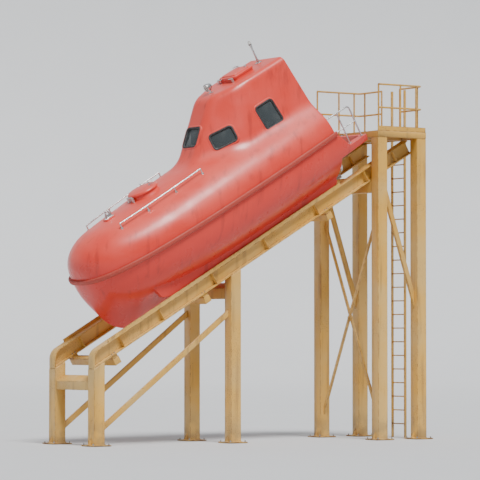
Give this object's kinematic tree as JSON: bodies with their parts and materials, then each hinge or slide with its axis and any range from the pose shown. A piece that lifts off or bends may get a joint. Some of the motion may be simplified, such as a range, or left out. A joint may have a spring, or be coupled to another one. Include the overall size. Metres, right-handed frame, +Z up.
{
  "type": "free-fall enclosed lifeboat on its launching ramp",
  "caption": "Enclosed free-fall lifeboat lying bow down on an inclined steel ramp, with a turning propeller, steering nozzle, aft door, hatches and boarding platform.",
  "frame": {"origin": "middle of the footprint, on the deck that the foot plates stand on", "axes": "+X down the ramp towards the bow, +Y to port, +Z up; the boat's own axes are turned 30 degrees bow down about Y"},
  "size_m": [8.4998, 2.8358, 8.5135],
  "materials": {
    "orange_shell": "sun-worn orange-red gelcoat on glass-fibre laminate",
    "fender_rubber": "dull dark orange fender moulding",
    "window_glass": "dark tinted safety pane",
    "ramp_yellow": "weathered yellow deck paint over primed steel, rusty at edges and welds",
    "stainless": "satin stainless steel",
    "bronze": "polished manganese bronze, dulled by salt",
    "lamp": "clear ribbed lens",
    "cabin_grey": "textured grey interior topcoat",
    "seat_black": "moulded closed-cell seat pads"
  },
  "bodies": {
    "boat_and_ramp": {"hull": "orange_shell", "canopy": "orange_shell", "aft_bulkhead": "orange_shell", "foredeck": "orange_shell", "wheelhouse": "orange_shell", "fender_belt": "fender_rubber", "skeg_shoe": "stainless", "stern_tube": "bronze", "release_hook": "stainless", "bow_lifting_eye": "stainless", "stern_lifting_eye": "stainless", "roof_mast": "stainless", "position_light": "lamp", "search_light": "stainless", "cabin_sole": "cabin_grey", "engine_casing": "cabin_grey", "helm_seat": "seat_black", "helm_console": "cabin_grey", "release_link": "stainless", "platform": "ramp_yellow", "ladder": "ramp_yellow", "front_beam": "ramp_yellow", "middle_beam": "ramp_yellow", "rear_beam": "ramp_yellow", "cross_brace": "ramp_yellow", "window_front": "window_glass", "window_bow_port": "window_glass", "window_bow_starboard": "window_glass", "window_side_port": "window_glass", "window_side_starboard": "window_glass", "grab_rail_port": "stainless", "stern_rail_port": "stainless", "seats_port": "seat_black", "ramp_rail_port": "ramp_yellow", "front_leg_port": "ramp_yellow", "middle_leg_port": "ramp_yellow", "rear_leg_port": "ramp_yellow", "platform_post_port": "ramp_yellow", "fore_brace_port": "ramp_yellow", "post_brace_port": "ramp_yellow", "guard_rail_port": "ramp_yellow", "grab_rail_starboard": "stainless", "stern_rail_starboard": "stainless", "seats_starboard": "seat_black", "ramp_rail_starboard": "ramp_yellow", "front_leg_starboard": "ramp_yellow", "middle_leg_starboard": "ramp_yellow", "rear_leg_starboard": "ramp_yellow", "platform_post_starboard": "ramp_yellow", "fore_brace_starboard": "ramp_yellow", "post_brace_starboard": "ramp_yellow", "guard_rail_starboard": "ramp_yellow", "rail_tie_1": "ramp_yellow", "rail_tie_2": "ramp_yellow", "rail_tie_3": "ramp_yellow"},
    "propeller": {"propeller": "bronze"},
    "nozzle": {"steering_nozzle": "stainless"},
    "aft_door": {"aft_door": "orange_shell"},
    "roof_hatch": {"roof_hatch": "orange_shell"},
    "fore_hatch": {"fore_hatch": "orange_shell"}
  },
  "joints": [
    {"name": "propeller_spin", "type": "hinge", "parent": "boat_and_ramp", "child": "propeller", "pos_m": [-2.38251, 0, 5.93419], "axis": [0.866, 0, -0.5], "continuous": true},
    {"name": "nozzle_steer", "type": "hinge", "parent": "boat_and_ramp", "child": "nozzle", "pos_m": [-2.38251, 0, 5.93419], "axis": [0.5, 0, 0.866], "range_deg": [-30, 30]},
    {"name": "aft_door_swing", "type": "hinge", "parent": "boat_and_ramp", "child": "aft_door", "pos_m": [-1.2747, -0.365, 7.17098], "axis": [0.5, 0, 0.866], "range_deg": [0, 110]},
    {"name": "roof_hatch_lift", "type": "hinge", "parent": "boat_and_ramp", "child": "roof_hatch", "pos_m": [0.38417, 0, 7.64621], "axis": [0, 1, 0], "range_deg": [0, 110]},
    {"name": "fore_hatch_lift", "type": "hinge", "parent": "boat_and_ramp", "child": "fore_hatch", "pos_m": [2.75137, 0, 5.06633], "axis": [0, 1, 0], "range_deg": [0, 100]}
  ]
}
